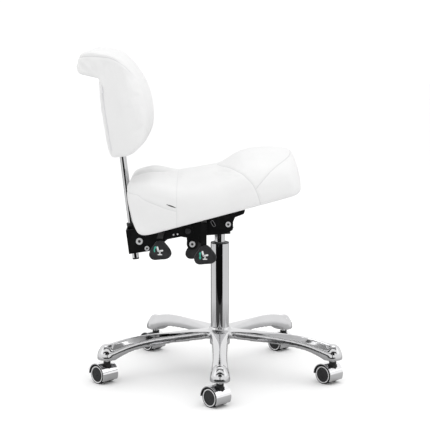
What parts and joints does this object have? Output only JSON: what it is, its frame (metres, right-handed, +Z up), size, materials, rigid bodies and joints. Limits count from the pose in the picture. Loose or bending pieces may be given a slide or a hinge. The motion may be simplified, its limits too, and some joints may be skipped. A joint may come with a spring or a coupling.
{
  "type": "pedicure stool",
  "caption": "Height-adjustable saddle stool with a curled backrest on a tilting arm, three levers and a polished star base on hooded twin-wheel casters.",
  "frame": {"origin": "on the floor under the axis of the gas column", "axes": "+X forwards, the way the sitter faces; +Y to the sitter's left; +Z up along the column"},
  "size_m": [0.6904, 0.6512, 0.885],
  "materials": {
    "polished_aluminium": "polished",
    "chrome": "polished",
    "bright_steel": "satin",
    "black_fastener": "satin",
    "black_steel": "satin",
    "black_plastic": "matte",
    "grey_plastic": "matte",
    "caster_tread": "matte",
    "plywood": "matte",
    "white_upholstery": "satin"
  },
  "bodies": {
    "base": {"star_base": "polished_aluminium", "caster_stems": "bright_steel", "gas_outer_tube": "chrome", "guide_bush": "black_plastic", "thrust_bearing": "bright_steel"},
    "spindle": {"piston_rod": "bright_steel", "rod_clip": "bright_steel"},
    "lift": {"pressure_tube": "chrome", "mechanism_channel": "black_steel", "taper_socket": "black_steel", "front_pivot_bolt": "bright_steel", "rear_pivot_bolt": "black_fastener", "pivot_nuts": "bright_steel", "lock_bracket": "black_steel", "lock_bolt": "bright_steel"},
    "release": {"release_pin": "bright_steel"},
    "seat": {"seat_plate": "black_steel", "seat_board": "plywood", "seat_cushion": "white_upholstery", "seat_screws": "bright_steel"},
    "back_arm": {"back_arm": "black_steel", "bar_bush": "black_plastic", "bar_clamp_screws": "bright_steel"},
    "back": {"back_bar": "chrome", "bar_end_plug": "black_plastic", "bar_socket": "black_steel", "back_board": "plywood", "back_screws": "bright_steel", "back_cushion": "white_upholstery"},
    "lift_lever": {"lift_lever_arm": "black_steel", "lift_lever_paddle": "grey_plastic"},
    "back_lever": {"back_lever_arm": "black_steel", "back_lever_paddle": "grey_plastic"},
    "seat_lever": {"seat_lever_arm": "black_steel", "seat_lever_paddle": "grey_plastic"},
    "caster_1": {"caster_1_body": "black_plastic", "caster_1_hood": "chrome", "caster_1_axle": "bright_steel"},
    "caster_1_right": {"caster_1_wheel_right": "caster_tread"},
    "caster_1_left": {"caster_1_wheel_left": "caster_tread"},
    "caster_2": {"caster_2_body": "black_plastic", "caster_2_hood": "chrome", "caster_2_axle": "bright_steel"},
    "caster_2_right": {"caster_2_wheel_right": "caster_tread"},
    "caster_2_left": {"caster_2_wheel_left": "caster_tread"},
    "caster_3": {"caster_3_body": "black_plastic", "caster_3_hood": "chrome", "caster_3_axle": "bright_steel"},
    "caster_3_right": {"caster_3_wheel_right": "caster_tread"},
    "caster_3_left": {"caster_3_wheel_left": "caster_tread"},
    "caster_4": {"caster_4_body": "black_plastic", "caster_4_hood": "chrome", "caster_4_axle": "bright_steel"},
    "caster_4_right": {"caster_4_wheel_right": "caster_tread"},
    "caster_4_left": {"caster_4_wheel_left": "caster_tread"},
    "caster_5": {"caster_5_body": "black_plastic", "caster_5_hood": "chrome", "caster_5_axle": "bright_steel"},
    "caster_5_right": {"caster_5_wheel_right": "caster_tread"},
    "caster_5_left": {"caster_5_wheel_left": "caster_tread"}
  },
  "joints": [
    {"name": "column_swivel", "type": "hinge", "parent": "base", "child": "spindle", "pos_m": [0, 0, 0.09], "axis": [0, 0, 1], "continuous": true},
    {"name": "seat_height", "type": "slide", "parent": "spindle", "child": "lift", "axis": [0, 0, 1], "range_m": [0, 0.13]},
    {"name": "release_pin_press", "type": "slide", "parent": "lift", "child": "release", "axis": [0, 0, -1], "range_m": [0, 0.0037]},
    {"name": "seat_tilt", "type": "hinge", "parent": "lift", "child": "seat", "pos_m": [0.022, 0, 0.4246], "axis": [0, 1, 0], "range_deg": [0, 18]},
    {"name": "back_tilt", "type": "hinge", "parent": "lift", "child": "back_arm", "pos_m": [-0.085, 0, 0.406], "axis": [0, -1, 0], "range_deg": [0, 20]},
    {"name": "back_height", "type": "slide", "parent": "back_arm", "child": "back", "axis": [-0.1146, 0, 0.9934], "range_m": [0, 0.05]},
    {"name": "lift_lever_pull", "type": "hinge", "parent": "lift", "child": "lift_lever", "pos_m": [-0.042, -0.0555, 0.4415], "axis": [-1, 0, 0], "range_deg": [0, 3.5], "stiffness_Nm_per_rad": 5},
    {"name": "back_lever_pull", "type": "hinge", "parent": "back_arm", "child": "back_lever", "pos_m": [-0.156, -0.0595, 0.4], "axis": [-1, 0, 0], "range_deg": [0, 8]},
    {"name": "seat_lever_pull", "type": "hinge", "parent": "lift", "child": "seat_lever", "pos_m": [-0.056, 0.0555, 0.4045], "axis": [1, 0, 0], "range_deg": [0, 8]},
    {"name": "caster_1_swivel", "type": "hinge", "parent": "base", "child": "caster_1", "pos_m": [0, -0.3165, 0.06], "axis": [0, 0, 1], "continuous": true},
    {"name": "caster_1_roll_right", "type": "hinge", "parent": "caster_1", "child": "caster_1_right", "pos_m": [-0.01061, -0.30589, 0.025], "axis": [-0.7071, -0.7071, 0], "continuous": true},
    {"name": "caster_1_roll_left", "type": "hinge", "parent": "caster_1", "child": "caster_1_left", "pos_m": [-0.01061, -0.30589, 0.025], "axis": [-0.7071, -0.7071, 0], "continuous": true},
    {"name": "caster_2_swivel", "type": "hinge", "parent": "base", "child": "caster_2", "pos_m": [0.30101, -0.0978, 0.06], "axis": [0, 0, 1], "continuous": true},
    {"name": "caster_2_roll_right", "type": "hinge", "parent": "caster_2", "child": "caster_2_right", "pos_m": [0.2904, -0.0872, 0.025], "axis": [-0.7071, -0.7071, 0], "continuous": true},
    {"name": "caster_2_roll_left", "type": "hinge", "parent": "caster_2", "child": "caster_2_left", "pos_m": [0.2904, -0.0872, 0.025], "axis": [-0.7071, -0.7071, 0], "continuous": true},
    {"name": "caster_3_swivel", "type": "hinge", "parent": "base", "child": "caster_3", "pos_m": [0.18603, 0.25605, 0.06], "axis": [0, 0, 1], "continuous": true},
    {"name": "caster_3_roll_right", "type": "hinge", "parent": "caster_3", "child": "caster_3_right", "pos_m": [0.17543, 0.26666, 0.025], "axis": [-0.7071, -0.7071, 0], "continuous": true},
    {"name": "caster_3_roll_left", "type": "hinge", "parent": "caster_3", "child": "caster_3_left", "pos_m": [0.17543, 0.26666, 0.025], "axis": [-0.7071, -0.7071, 0], "continuous": true},
    {"name": "caster_4_swivel", "type": "hinge", "parent": "base", "child": "caster_4", "pos_m": [-0.18603, 0.25605, 0.06], "axis": [0, 0, 1], "continuous": true},
    {"name": "caster_4_roll_right", "type": "hinge", "parent": "caster_4", "child": "caster_4_right", "pos_m": [-0.19664, 0.26666, 0.025], "axis": [-0.7071, -0.7071, 0], "continuous": true},
    {"name": "caster_4_roll_left", "type": "hinge", "parent": "caster_4", "child": "caster_4_left", "pos_m": [-0.19664, 0.26666, 0.025], "axis": [-0.7071, -0.7071, 0], "continuous": true},
    {"name": "caster_5_swivel", "type": "hinge", "parent": "base", "child": "caster_5", "pos_m": [-0.30101, -0.0978, 0.06], "axis": [0, 0, 1], "continuous": true},
    {"name": "caster_5_roll_right", "type": "hinge", "parent": "caster_5", "child": "caster_5_right", "pos_m": [-0.31162, -0.0872, 0.025], "axis": [-0.7071, -0.7071, 0], "continuous": true},
    {"name": "caster_5_roll_left", "type": "hinge", "parent": "caster_5", "child": "caster_5_left", "pos_m": [-0.31162, -0.0872, 0.025], "axis": [-0.7071, -0.7071, 0], "continuous": true}
  ],
  "couplings": [
    {"joint": "release_pin_press", "follows": "lift_lever_pull", "m_per_rad": 0.0585}
  ]
}
